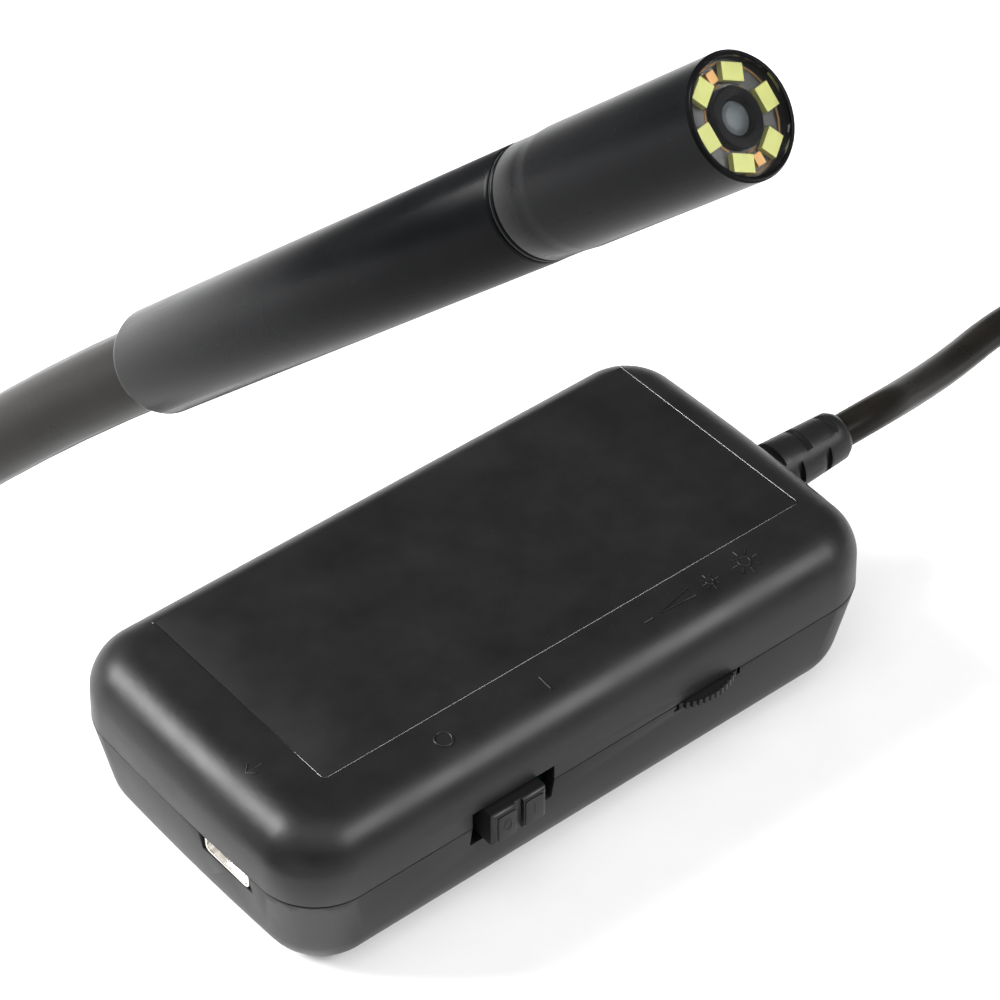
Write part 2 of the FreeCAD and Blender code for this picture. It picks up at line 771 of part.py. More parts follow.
# Points of the cable's free runs, chosen by hand, in millimetres.
LEAD = [
    (52.5, 0.0, 13.2),
    (58.7, 0.0, 13.2),
    (66.6, 2.9, 9.6),
    (77.2, 6.5, 5.6),
    (89.5, 10.3, 2.9),
    (104.0, 10.6, 2.1),
    (116.0, 0.8, 2.1),
    (119.0, -17.0, 2.1),
    (110.0, -34.0, 2.1),
    (91.0, -47.0, 2.1),
    (66.0, -59.0, 2.1),
    (38.0, -75.0, 2.1),
    (4.0, -84.0, 2.1),
    (-29.0, -77.0, 2.1),
    (-54.0, -62.0, 2.1),
    (-69.5, -43.0, 2.1),
    (-75.5, -20.0, 2.1),
    (-75.9, 2.0, 2.1),
]
RISE = [
    (-126.0, 2.0, 14.4),
    (-126.4, -12.5, 16.2),
    (-127.5, -25.5, 31.0),
    (-128.5, -34.0, 56.0),
    (-128.5, -45.0, 88.0),
    (-126.5, -61.0, 122.0),
    (-121.7, -83.5, 154.5),
    (-117.1, -103.7, 179.8),
    (-114.4, -116.7, 192.0),
]
COIL_MIDDLE = (-103.0, 2.0)


def rounded_path(points):
    """Straight runs joined by arcs, and the radii of those arcs."""
    corners = [Vector(*point) for point in points]
    edges = []
    radii = []
    here = corners[0]
    for before, corner, after in zip(corners, corners[1:], corners[2:]):
        back = (before - corner).normalize()
        ahead = (after - corner).normalize()
        half_turn = (math.pi - back.getAngle(ahead)) / 2
        reach = 0.45 * min((before - corner).Length, (after - corner).Length)
        radius = reach / math.tan(half_turn)
        start = corner + back * reach
        finish = corner + ahead * reach
        inward = (back + ahead).normalize()
        centre = corner + inward * math.hypot(radius, reach)
        middle = centre - inward * radius
        edges.append(Part.LineSegment(here, start).toShape())
        edges.append(Part.Arc(start, middle, finish).toShape())
        radii.append(round(radius, 1))
        here = finish
    edges.append(Part.LineSegment(here, corners[-1]).toShape())
    return Part.Wire(edges), radii


def cable_run(label, points):
    """A length of the round cable along hand-chosen points."""
    path, radii = rounded_path(points)
    radius = size("cable_size") / 2
    start = path.Edges[0]
    direction = start.tangentAt(start.FirstParameter)
    ring = Part.Wire([Part.Circle(Vector(*points[0]), direction, radius).toShape()])
    solid = path.makePipeShell([ring], True, False)
    run = doc.addObject("Part::Feature", label.title().replace("_", ""))
    run.Shape = solid
    expected = math.pi * radius ** 2 * path.Length
    print(label, "length", round(path.Length, 1), "radii", radii)
    print(label, "volume over section times length", round(solid.Volume / expected, 4))
    return keep(run, label), path.Length


lead, lead_length = cable_run("probe_cable_lead", LEAD)
rise, rise_length = cable_run("probe_cable_rise", RISE)


def coil():
    """The closed outer shape of the cable's coil, and the tie that holds it."""
    half = "coil_columns * cable_size / 2"
    tall = "coil_layers * cable_size"
    centre = (COIL_MIDDLE[0], COIL_MIDDLE[1], 0)
    outer = rod("CoilOuter", "coil_radius + " + half, tall, centre)
    inner = rod("CoilInner", "coil_radius - " + half, 40, (centre[0], centre[1], -5))
    keep(less("CoilRing", outer, [inner]), "probe_cable_coil")
    wrap = "coil_radius - %s - 0.95" % half
    band = "coil_columns * cable_size + 1.9"
    low = (COIL_MIDDLE[0] - 2, "%s + %s" % (COIL_MIDDLE[1], wrap), "0")
    strap = box("TieOuter", (4, band, tall + " + 0.8"), low)
    room = box(
        "TieInner",
        (6, "coil_columns * cable_size + 0.4", tall + " + 0.05"),
        (COIL_MIDDLE[0] - 3, "%s + %s + 0.75" % (COIL_MIDDLE[1], wrap), -0.01),
    )
    keep(less("CoilTie", strap, [room]), "coil_tie")


coil()

# ---------------------------------------------------------------- camera head

HEAD_FOOT = Vector(*RISE[-1])
HEAD_WAY = Vector(0.149, -0.721, 0.677).normalize()
HEAD_SIDE = Vector(0, 0, 1).cross(HEAD_WAY).normalize()
HEAD_UP = HEAD_WAY.cross(HEAD_SIDE)
HEAD_PLACE = FreeCAD.Placement(
    HEAD_FOOT, FreeCAD.Rotation(HEAD_SIDE, HEAD_UP, HEAD_WAY, "ZXY")
)


def on_head(thing, along, across=0.0, upward=0.0, turn=0.0):
    """Seat a primitive in the head: along is measured from the head's rear end."""
    local = FreeCAD.Placement(
        Vector(across, upward, value_of(along)), FreeCAD.Rotation(Vector(0, 0, 1), turn)
    )
    thing.Placement = HEAD_PLACE.multiply(local)
    return thing


def head_disc(label, radius, bore, along, thickness):
    """A washer or disc across the head."""
    name = label.title().replace("_", "")
    disc = doc.addObject("Part::Cylinder", name + "Disc")
    disc.setExpression("Radius", named(str(radius)))
    disc.setExpression("Height", named(str(thickness)))
    on_head(disc, along)
    if not bore:
        return keep(disc, label)
    hole = doc.addObject("Part::Cylinder", name + "Hole")
    hole.setExpression("Radius", named(str(bore)))
    hole.setExpression("Height", named(str(thickness) + " + 2"))
    on_head(hole, str(along) + " - 1")
    return keep(less(name, disc, [hole]), label)


def face_chip(name, angle, reach, sizes):
    """A small block on the head's light board, its inner side at reach from the axis."""
    chip = doc.addObject("Part::Box", name)
    chip.Length, chip.Width, chip.Height = sizes
    spread = FreeCAD.Rotation(Vector(0, 0, 1), angle)
    corner = spread.multVec(Vector(reach, -sizes[1] / 2, value_of("head_length - 0.7")))
    chip.Placement = HEAD_PLACE.multiply(FreeCAD.Placement(corner, spread))
    return chip


def camera_head():
    shell = "head_size / 2"
    sleeve = "sleeve_size / 2"
    bore = "head_size / 2 - tube_wall - 0.15"
    cable = "cable_size / 2"
    step = "sleeve_length + 0.4"
    face = "head_size / 2 - 0.25"
    turned(
        "rear_sleeve",
        [
            (cable, "0"),
            (sleeve + " - 0.35", "0"),
            (sleeve + " - 0.1", "0.15"),
            (sleeve, "0.45"),
            (sleeve, "sleeve_length - 0.2"),
            (sleeve + " - 0.08", "sleeve_length"),
            (bore, "sleeve_length"),
            (bore, "3"),
            (cable, "3"),
        ],
        HEAD_PLACE,
    )
    head_disc("seam_ring", "sleeve_size / 2 + 0.1", bore, "sleeve_length", "0.4")
    turned(
        "head_tube",
        [
            (bore, step),
            (sleeve + " - 0.02", step),
            (sleeve + " - 0.02", "head_length - 11.9"),
            (shell, "head_length - 10.9"),
            (shell, "head_length - 0.15"),
            (shell + " - 0.12", "head_length"),
            (face, "head_length"),
            (face, "head_length - 1.05"),
            (bore, "head_length - 1.05"),
        ],
        HEAD_PLACE,
    )
    head_disc("front_window", face, "", "head_length - 0.33", 0.28)
    head_disc("light_board", face + " - 0.03", 1.3, "head_length - 1.05", 0.35)
    lights = []
    for i in range(HEAD_LIGHTS):
        angle = HEAD_LIGHT_FIRST + 360.0 / HEAD_LIGHTS * i
        lights.append(face_chip("HeadLight%d" % i, angle, 1.47, (0.75, 1.05, 0.3)))
    keep(fused("HeadLights", lights), "head_lights")
    spots = []
    for i, angle in enumerate(HEAD_SPOTS):
        spots.append(face_chip("HeadSpot%d" % i, angle, 1.6, (0.5, 0.45, 0.2)))
    keep(fused("HeadSpots", spots), "light_resistors")
    turned(
        "lens_barrel",
        [
            ("0.72", "head_length - 5.2"),
            ("1.3", "head_length - 5.2"),
            ("1.3", "head_length - 0.45"),
            ("1.22", "head_length - 0.37"),
            ("0.85", "head_length - 0.37"),
            ("0.72", "head_length - 0.5"),
        ],
        HEAD_PLACE,
    )
    turned(
        "front_lens",
        [
            ("0", "head_length - 1.7"),
            ("0.72", "head_length - 1.7"),
            ("0.72", "head_length - 0.62"),
            ("0.5", "head_length - 0.53"),
            ("0.25", "head_length - 0.47"),
            ("0", "head_length - 0.45"),
        ],
        HEAD_PLACE,
    )
    head_disc("rear_lens", "0.72", "", "head_length - 4.6", "0.8")
    head_disc("sensor_chip", "0.72", "", "head_length - 5.2", "0.3")
    head_disc("sensor_board", "head_size / 2 - tube_wall - 0.15", "", "head_length - 5.8", "0.6")
    driver = doc.addObject("Part::Box", "DriverBoard")
    driver.Length, driver.Width, driver.Height = 0.6, 3.4, 14.0
    on_head(driver, "head_length - 19.8", -0.3, -1.7)
    keep(driver, "driver_board")
    head_disc("cable_seal", "head_size / 2 - tube_wall - 0.15", "cable_size / 2", "3", "4")
    inner = doc.addObject("Part::Cylinder", "HeadCableEnd")
    inner.setExpression("Radius", named("cable_size / 2"))
    inner.Height = 8.0
    on_head(inner, "0")
    keep(inner, "head_cable_end")
    wires = []
    for i, across in enumerate((-0.9, -0.3, 0.3, 0.9)):
        wire = doc.addObject("Part::Cylinder", "HeadWire%d" % i)
        wire.Radius = 0.22
        wire.setExpression("Height", named("head_length - 27.8"))
        on_head(wire, "8", 0.0, across)
        wires.append(wire)
    keep(fused("HeadWires", wires), "head_wires")


HEAD_LIGHTS = 6
HEAD_LIGHT_FIRST = -2.0
HEAD_SPOTS = (90.0, 267.0)
camera_head()

# ---------------------------------------------------------------- checks and export

doc.recompute()
for thing in doc.Objects:
    if "Invalid" in thing.State or "Error" in thing.State:
        raise RuntimeError("%s is in state %s" % (thing.Label, thing.State))
for thing in PARTS:
    shape = thing.Shape
    if shape.isNull() or not shape.isValid() or not shape.Solids:
        raise RuntimeError("%s has no valid solid" % thing.Label)

turns = (2000.0 - lead_length - rise_length) / (2 * math.pi * size("coil_radius"))
print("coil turns for two metres of cable", round(turns, 2))
os.makedirs("parts", exist_ok=True)
for thing in PARTS:
    thing.Shape.exportStep("parts/%s.step" % thing.Label)
    limits = thing.Shape.BoundBox
    print(
        "%-20s %2d solid(s) %9.1f mm3  x %.1f..%.1f  y %.1f..%.1f  z %.1f..%.1f"
        % (
            thing.Label, len(thing.Shape.Solids), thing.Shape.Volume,
            limits.XMin, limits.XMax, limits.YMin, limits.YMax, limits.ZMin, limits.ZMax,
        )
    )
print(len(PARTS), "sub-parts")
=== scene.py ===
# %% [markdown]
# # A pocket inspection camera, in cells
# The object is a small black control box and a slim camera head, joined by about two metres of
# thin form-holding cable. The CAD model sets every size, so this lesson loads it first and then
# adds what CAD can't show: smooth moulded skins, raised signs, a flowing cable and the finishes.

# %% Load the fixed frame
import bpy
import json
import math
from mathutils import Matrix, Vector


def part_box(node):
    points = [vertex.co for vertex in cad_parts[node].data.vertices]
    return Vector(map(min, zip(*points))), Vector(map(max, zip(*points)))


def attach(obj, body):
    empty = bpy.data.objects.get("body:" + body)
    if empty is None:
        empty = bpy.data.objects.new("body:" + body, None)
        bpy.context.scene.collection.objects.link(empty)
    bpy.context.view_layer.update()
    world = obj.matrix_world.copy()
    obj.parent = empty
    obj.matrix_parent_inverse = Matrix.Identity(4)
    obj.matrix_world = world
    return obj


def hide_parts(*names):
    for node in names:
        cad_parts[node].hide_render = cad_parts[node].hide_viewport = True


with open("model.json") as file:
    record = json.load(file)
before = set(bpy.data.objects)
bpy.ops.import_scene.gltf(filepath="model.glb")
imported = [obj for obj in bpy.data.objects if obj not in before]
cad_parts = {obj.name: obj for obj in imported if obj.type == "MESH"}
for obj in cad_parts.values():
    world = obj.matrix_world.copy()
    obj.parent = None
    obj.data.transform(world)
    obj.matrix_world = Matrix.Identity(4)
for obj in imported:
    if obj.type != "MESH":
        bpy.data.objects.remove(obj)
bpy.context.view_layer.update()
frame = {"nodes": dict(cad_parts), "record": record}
record = frame["record"]
MM = 0.001

# %% [markdown]
# ## The camera and the room
# The box is seen from above its slider side. A long lens keeps its edges nearly parallel. The
# camera is made first, because the cable's unseen length has to stay outside its view.

# %% Camera
case_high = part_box("bottom_cover")[1]
case_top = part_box("top_cover")[1].z
LOOK_AT = Vector((17.6 * MM, 18.0 * MM, 10.5 * MM))
CAMERA_AWAY = 454.5 * MM
CAMERA_TURN = math.radians(-39.45)
CAMERA_RISE = math.radians(42.56)
SENSOR = 36.0
LENS = 145.6

backward = Vector((
    math.sin(CAMERA_TURN) * math.cos(CAMERA_RISE),
    -math.cos(CAMERA_TURN) * math.cos(CAMERA_RISE),
    math.sin(CAMERA_RISE),
))
bpy.ops.object.camera_add(location=LOOK_AT + CAMERA_AWAY * backward)
camera = bpy.context.object
camera.rotation_euler = backward.to_track_quat("Z", "Y").to_euler()
camera.data.sensor_width = SENSOR
camera.data.lens = LENS
camera.data.clip_start = 0.01
camera.data.clip_end = 20.0
bpy.context.scene.camera = camera
print("camera at", [round(v, 3) for v in camera.location])

# %% [markdown]
# A plain pale floor and large soft lamps suit a black object: it is seen mostly by what it
# mirrors. The floor throws light back at the side walls, which read lighter than the top. One
# lamp stands where the long rounded edge mirrors it, one where the short rounded edge does, and
# a wide one hangs over the front, so the flat top stays dark.

# %% Helper: put every earlier choice away before an operator runs
def fresh():
    """Leave edit mode and select nothing."""
    if bpy.context.object and bpy.context.object.mode != "OBJECT":
        bpy.ops.object.mode_set(mode="OBJECT")
    bpy.ops.object.select_all(action="DESELECT")


def choose(piece):
    """Make one object the only selected and active one."""
    fresh()
    piece.select_set(True)
    bpy.context.view_layer.objects.active = piece


# %% Floor
fresh()
FLOOR_SIZE = 6.0
FLOOR_DROP = 0.0002
bpy.ops.mesh.primitive_grid_add(x_subdivisions=4, y_subdivisions=4, size=FLOOR_SIZE)
floor = bpy.context.object
floor.name = "studio_floor"
for vertex in floor.data.vertices:
    vertex.co.z = -FLOOR_DROP
print("floor", FLOOR_SIZE, "m")

# %% Lamps
def soft_lamp(name, place, aim, size, power):
    """A rectangular area lamp that faces a point."""
    fresh()
    bpy.ops.object.light_add(type="AREA", location=place)
    lamp = bpy.context.object
    lamp.name = name
    lamp.data.shape = "RECTANGLE"
    lamp.data.size, lamp.data.size_y = size
    lamp.data.energy = power
    lamp.rotation_euler = (Vector(place) - Vector(aim)).to_track_quat("Z", "Y").to_euler()


BOX_MIDDLE = (0.0, 0.0, 0.01)
soft_lamp("lamp_long_side", (0.84, -1.32, 1.20), BOX_MIDDLE, (0.8, 0.8), 36.0)
soft_lamp("lamp_short_side", (-0.62, 0.64, 0.66), BOX_MIDDLE, (0.55, 0.45), 27.0)
soft_lamp("lamp_above", (-0.35, -0.45, 1.25), BOX_MIDDLE, (1.2, 1.2), 9.0)

ROOM_LIGHT = 0.16
world = bpy.data.worlds.new("pale_room")
bpy.context.scene.world = world
world.use_nodes = True
world.node_tree.nodes["Background"].inputs["Color"].default_value = (1.0, 1.0, 1.0, 1.0)
world.node_tree.nodes["Background"].inputs["Strength"].default_value = ROOM_LIGHT
bpy.context.scene.view_settings.view_transform = "Standard"

# %% [markdown]
# ## The cable
# The cable is a fixed length of round black jacket over a soft iron core, so it stays where it
# is bent. It leaves the box at its sleeve, sinks to the table, runs round the front of the box,
# is wound into a tied coil for storage, and its last stretch stands up with the camera head. One
# smooth NURBS spline follows the same points as the CAD tubes, and a loop adds the turns of the
# coil between them.

# %% Cable route, in millimetres
CABLE_SIZE = 4.1
LEAD = [
    (52.5, 0.0, 13.2),
    (58.7, 0.0, 13.2),
    (66.6, 2.9, 9.6),
    (77.2, 6.5, 5.6),
    (89.5, 10.3, 2.9),
    (104.0, 10.6, 2.1),
    (116.0, 0.8, 2.1),
    (119.0, -17.0, 2.1),
    (110.0, -34.0, 2.1),
    (91.0, -47.0, 2.1),
    (66.0, -59.0, 2.1),
    (38.0, -75.0, 2.1),
    (4.0, -84.0, 2.1),
    (-29.0, -77.0, 2.1),
    (-54.0, -62.0, 2.1),
    (-69.5, -43.0, 2.1),
    (-75.5, -20.0, 2.1),
    (-75.9, 2.0, 2.1),
]
RISE = [
    (-126.0, 2.0, 14.4),
    (-126.4, -12.5, 16.2),
    (-127.5, -25.5, 31.0),
    (-128.5, -34.0, 56.0),
    (-128.5, -45.0, 88.0),
    (-126.5, -61.0, 122.0),
    (-121.7, -83.5, 154.5),
    (-117.1, -103.7, 179.8),
    (-114.4, -116.7, 192.0),
]
print(len(LEAD), "points to the coil and", len(RISE), "up to the head")

# %% Turns of the coil
COIL_MIDDLE = Vector((-103.0, 2.0, 0.0))
COIL_RADIUS = 23.0
COIL_TURNS = 9.5
POINTS_PER_TURN = 16
COLUMNS = [1, 0, -1, -1, 0, 1, 1, 0, -1, 0]
LAYERS = [0, 0, 0, 1, 1, 1, 2, 2, 2, 3]
LOWEST_TURN = 2.1
LATE_SHARE = 0.66


def eased(share):
    """0 for most of a turn, then a smooth step to 1 over its last third."""
    late = max(0.0, (share - LATE_SHARE) / 0.34)
    return late * late * (3.0 - 2.0 * late)


def coil_point(turn):
    """A point of the coil after so many turns, stepping to its next row near each turn's end."""
    index = min(int(turn), len(COLUMNS) - 1)
    after = min(index + 1, len(COLUMNS) - 1)
    step = eased(turn - index)
    column = COLUMNS[index] + (COLUMNS[after] - COLUMNS[index]) * step
    layer = LAYERS[index] + (LAYERS[after] - LAYERS[index]) * step
    radius = COIL_RADIUS + column * CABLE_SIZE
    angle = 2.0 * math.pi * turn
    height = LOWEST_TURN + layer * CABLE_SIZE
    return COIL_MIDDLE + Vector((radius * math.cos(angle), radius * math.sin(angle), height))


coil_points = []
for step_number in range(1, int(COIL_TURNS * POINTS_PER_TURN)):
    coil_points.append(tuple(coil_point(step_number / POINTS_PER_TURN)))
print(len(coil_points), "points in", COIL_TURNS, "turns")

# %% One spline from the sleeve to the camera head
def round_cord(name, points, diameter):
    """A smooth round cord through the control points, given in millimetres."""
    curve = bpy.data.curves.new(name, "CURVE")
    curve.dimensions = "3D"
    spline = curve.splines.new("NURBS")
    spline.points.add(len(points) - 1)
    for point, place in zip(spline.points, points):
        point.co = (place[0] * MM, place[1] * MM, place[2] * MM, 1.0)
    spline.order_u = 3
    spline.use_endpoint_u = True
    spline.resolution_u = 8
    curve.bevel_depth = diameter * MM / 2
    curve.bevel_resolution = 5
    curve.use_fill_caps = True
    cord = bpy.data.objects.new(name, curve)
    bpy.context.scene.collection.objects.link(cord)
    return cord


cable = round_cord("probe_cable", LEAD + coil_points + RISE, CABLE_SIZE)
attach(cable, "camera")
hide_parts("probe_cable_lead", "probe_cable_coil", "probe_cable_rise")
print("cable points:", len(cable.data.splines[0].points))

# %% [markdown]
# ## Finishes
# Nearly everything here is black, so the finishes differ in grain and gloss, not in hue. Two
# effects are shared: a fine moulded grain, and faint handling marks. Each is a node group that
# puts out numbers only, and every material mixes them with its own values.

# %% Node helpers
def new_group(name, inputs, outputs):
    """An empty shader group with float inputs, given with their defaults, and float outputs."""
    group = bpy.data.node_groups.new(name, "ShaderNodeTree")
    for label, default in inputs:
        socket = group.interface.new_socket(label, in_out="INPUT", socket_type="NodeSocketFloat")
        socket.default_value = default
    for label in outputs:
        group.interface.new_socket(label, in_out="OUTPUT", socket_type="NodeSocketFloat")
    start = group.nodes.new("NodeGroupInput")
    end = group.nodes.new("NodeGroupOutput")
    return group, start, end


def add_noise(tree, scale, detail, source, rough=0.55):
    """A noise texture on a vector socket."""
    noise = tree.nodes.new("ShaderNodeTexNoise")
    noise.inputs["Scale"].default_value = scale
    noise.inputs["Detail"].default_value = detail
    noise.inputs["Roughness"].default_value = rough
    tree.links.new(source, noise.inputs["Vector"])
    return noise


def remap(tree, source, low, high, to_low, to_high):
    """Stretch one range of numbers onto another."""
    node = tree.nodes.new("ShaderNodeMapRange")
    node.inputs["From Min"].default_value = low
    node.inputs["From Max"].default_value = high
    node.inputs["To Min"].default_value = to_low
    node.inputs["To Max"].default_value = to_high
    tree.links.new(source, node.inputs["Value"])
    return node.outputs["Result"]


# %% Shared effect: moulded grain
grain, grain_in, grain_out = new_group(
    "moulded_grain", [("Scale", 3200.0)], ["Height", "Mottle"]
)
place_node = grain.nodes.new("ShaderNodeTexCoord")
fine = add_noise(grain, 3200.0, 2.0, place_node.outputs["Object"])
grain.links.new(grain_in.outputs["Scale"], fine.inputs["Scale"])
pits = grain.nodes.new("ShaderNodeTexVoronoi")
grain.links.new(place_node.outputs["Object"], pits.inputs["Vector"])
grain.links.new(grain_in.outputs["Scale"], pits.inputs["Scale"])
blend = grain.nodes.new("ShaderNodeMath")
blend.operation = "ADD"
grain.links.new(fine.outputs["Fac"], blend.inputs[0])
grain.links.new(pits.outputs["Distance"], blend.inputs[1])
grain.links.new(blend.outputs["Value"], grain_out.inputs["Height"])
cloudy = add_noise(grain, 160.0, 4.0, place_node.outputs["Object"])
grain.links.new(cloudy.outputs["Fac"], grain_out.inputs["Mottle"])

# %% Shared effect: handling marks
marks, marks_in, marks_out = new_group(
    "handling_marks", [("Scale", 60.0)], ["Smear", "Dust"]
)
mark_place = marks.nodes.new("ShaderNodeTexCoord")
smear = add_noise(marks, 60.0, 6.0, mark_place.outputs["Object"], 0.65)
marks.links.new(marks_in.outputs["Scale"], smear.inputs["Scale"])
marks.links.new(
    remap(marks, smear.outputs["Fac"], 0.42, 0.70, 0.0, 1.0), marks_out.inputs["Smear"]
)
speck = add_noise(marks, 2600.0, 1.0, mark_place.outputs["Object"])
marks.links.new(
    remap(marks, speck.outputs["Fac"], 0.70, 0.80, 0.0, 1.0), marks_out.inputs["Dust"]
)
print("groups:", [g.name for g in bpy.data.node_groups])


# %% A material from its colours and its share of each effect
DUST_COLOUR = (0.5, 0.49, 0.47, 1.0)
COAT_ROUGHNESS = 0.15
MOTTLE_LOW, MOTTLE_HIGH = 0.3, 0.7
GLOSS_SPREAD = 0.03


def finish(name, dark, light, rough, grain_scale=3200.0, grain_depth=0.1, bump=0.00002, metal=0.0,
           coat=0.0, smear=0.05, dust=0.01, shine=0.5, bend=1.5):
    """A surface whose colour, gloss and relief vary with the shared effects."""
    material = bpy.data.materials.new(name)
    material.use_nodes = True
    tree = material.node_tree
    shader = tree.nodes["Principled BSDF"]
    grain_node = tree.nodes.new("ShaderNodeGroup")
    grain_node.node_tree = grain
    grain_node.inputs["Scale"].default_value = grain_scale
    marks_node = tree.nodes.new("ShaderNodeGroup")
    marks_node.node_tree = marks
    colour = tree.nodes.new("ShaderNodeMix")
    colour.data_type = "RGBA"
    colour.inputs["A"].default_value = (*dark, 1.0)
    colour.inputs["B"].default_value = (*light, 1.0)
    tree.links.new(
        remap(tree, grain_node.outputs["Mottle"], MOTTLE_LOW, MOTTLE_HIGH, 0.0, 1.0),
        colour.inputs["Factor"],
    )
    dusty = tree.nodes.new("ShaderNodeMix")
    dusty.data_type = "RGBA"
    dusty.inputs["B"].default_value = DUST_COLOUR
    tree.links.new(colour.outputs["Result"], dusty.inputs["A"])
    tree.links.new(
        remap(tree, marks_node.outputs["Dust"], 0.0, 1.0, 0.0, dust), dusty.inputs["Factor"]
    )
    tree.links.new(dusty.outputs["Result"], shader.inputs["Base Color"])
    gloss = tree.nodes.new("ShaderNodeMath")
    gloss.operation = "ADD"
    tree.links.new(
        remap(
            tree, grain_node.outputs["Mottle"], MOTTLE_LOW, MOTTLE_HIGH,
            rough - GLOSS_SPREAD, rough + GLOSS_SPREAD,
        ),
        gloss.inputs[0],
    )
    tree.links.new(
        remap(tree, marks_node.outputs["Smear"], 0.0, 1.0, 0.0, smear), gloss.inputs[1]
    )
    tree.links.new(gloss.outputs["Value"], shader.inputs["Roughness"])
    relief = tree.nodes.new("ShaderNodeBump")
    relief.inputs["Strength"].default_value = grain_depth
    relief.inputs["Distance"].default_value = bump
    tree.links.new(grain_node.outputs["Height"], relief.inputs["Height"])
    tree.links.new(relief.outputs["Normal"], shader.inputs["Normal"])
    shader.inputs["Metallic"].default_value = metal
    shader.inputs["Coat Weight"].default_value = coat
    shader.inputs["Coat Roughness"].default_value = COAT_ROUGHNESS
    shader.inputs["Specular IOR Level"].default_value = shine
    shader.inputs["IOR"].default_value = bend
    return material


# %% [markdown]
# The covers are spark-textured ABS: matte, with a fine even grain that breaks up highlights.
# The recessed panel on top is a little duller. The cable's jacket is glossier than the covers, its
# sleeve is about as matte as they are, and the head has a satin coating on metal.

# %% Finishes of the outside and the head's face
FINISHES = {
    "case_black": finish(
        "case_black", (0.0060, 0.0060, 0.0064), (0.0090, 0.0090, 0.0094), 0.40, 5200.0, 0.30,
        0.00001, smear=0.03, bend=1.33,
    ),
    "knob_black": finish(
        "knob_black", (0.0055, 0.0055, 0.0058), (0.0080, 0.0080, 0.0084), 0.36, 5200.0, 0.25,
        0.00001, bend=1.34,
    ),
    "rubber_black": finish(
        "rubber_black", (0.0060, 0.0060, 0.0062), (0.0090, 0.0090, 0.0092), 0.42, 5200.0, 0.35,
        0.00001, bend=1.34,
    ),
    "jacket_black": finish(
        "jacket_black", (0.0080, 0.0072, 0.0062), (0.013, 0.0115, 0.010), 0.28, 2400.0, 0.15,
        0.00001, smear=0.04, bend=1.13,
    ),
    "head_black": finish(
        "head_black", (0.0030, 0.0032, 0.0036), (0.0055, 0.0058, 0.0064), 0.24, 6000.0, 0.12,
        0.000006, smear=0.03, bend=1.12,
    ),
    "film_black": finish(
        "film_black", (0.0045, 0.0045, 0.0048), (0.0075, 0.0075, 0.0080), 0.46, 6400.0, 0.35,
        0.00001, smear=0.05, bend=1.33,
    ),
    "bead_black": finish(
        "bead_black", (0.010, 0.010, 0.0105), (0.016, 0.016, 0.0165), 0.20, 5200.0, 0.1,
        0.000004, shine=0.8,
    ),
    "light_board_black": finish(
        "light_board_black", (0.012, 0.010, 0.008), (0.030, 0.024, 0.017), 0.30, 2400.0, 0.25,
        0.000006, coat=0.3,
    ),
    "lens_grey": finish(
        "lens_grey", (0.070, 0.080, 0.090), (0.088, 0.098, 0.108), 0.45, 5200.0, 0.05,
        0.000004, dust=0.0,
    ),
    "copper_trace": finish(
        "copper_trace", (0.30, 0.13, 0.03), (0.46, 0.22, 0.06), 0.30, 5000.0, 0.1, 0.000004,
        metal=0.4,
    ),
}
print(sorted(FINISHES))

# %% Finishes of the works inside
FINISHES.update({
    "steel": finish(
        "steel", (0.52, 0.52, 0.53), (0.66, 0.66, 0.67), 0.32, 5000.0, 0.2, 0.00001, metal=1.0
    ),
    "nickel": finish(
        "nickel", (0.66, 0.64, 0.60), (0.78, 0.76, 0.72), 0.22, 4000.0, 0.12, 0.00001, metal=1.0
    ),
    "board": finish(
        "board", (0.010, 0.085, 0.036), (0.018, 0.13, 0.055), 0.30, 2600.0, 0.25, 0.00001,
        coat=0.4,
    ),
    "chip": finish(
        "chip", (0.018, 0.018, 0.019), (0.028, 0.028, 0.030), 0.55, 4600.0, 0.3, 0.00001
    ),
    "ceramic": finish(
        "ceramic", (0.42, 0.33, 0.23), (0.58, 0.48, 0.36), 0.45, 5200.0, 0.2, 0.00001
    ),
    "white_plastic": finish(
        "white_plastic", (0.74, 0.72, 0.66), (0.83, 0.81, 0.75), 0.42, 3600.0, 0.2, 0.00001
    ),
    "orange_part": finish(
        "orange_part", (0.80, 0.36, 0.08), (0.92, 0.52, 0.16), 0.35, 5000.0, 0.2, 0.00001
    ),
    "foil": finish(
        "foil", (0.58, 0.59, 0.60), (0.72, 0.73, 0.74), 0.34, 900.0, 0.5, 0.00006, metal=0.9
    ),
    "foam": finish(
        "foam", (0.05, 0.05, 0.055), (0.10, 0.10, 0.11), 0.9, 1800.0, 0.9, 0.00010
    ),
    "tape": finish(
        "tape", (0.62, 0.34, 0.05), (0.78, 0.48, 0.10), 0.28, 1500.0, 0.2, 0.00002, coat=0.5
    ),
    "brass": finish(
        "brass", (0.72, 0.50, 0.20), (0.84, 0.62, 0.30), 0.26, 4400.0, 0.15, 0.00001, metal=1.0
    ),
    "wire_red": finish(
        "wire_red", (0.42, 0.03, 0.02), (0.55, 0.05, 0.03), 0.35, 5200.0, 0.1, 0.00001
    ),
    "led_lens": finish(
        "led_lens", (0.68, 0.68, 0.16), (0.82, 0.82, 0.28), 0.30, 6000.0, 0.25, 0.00001, coat=0.5,
        dust=0.0,
    ),
})
print(len(FINISHES), "finishes")


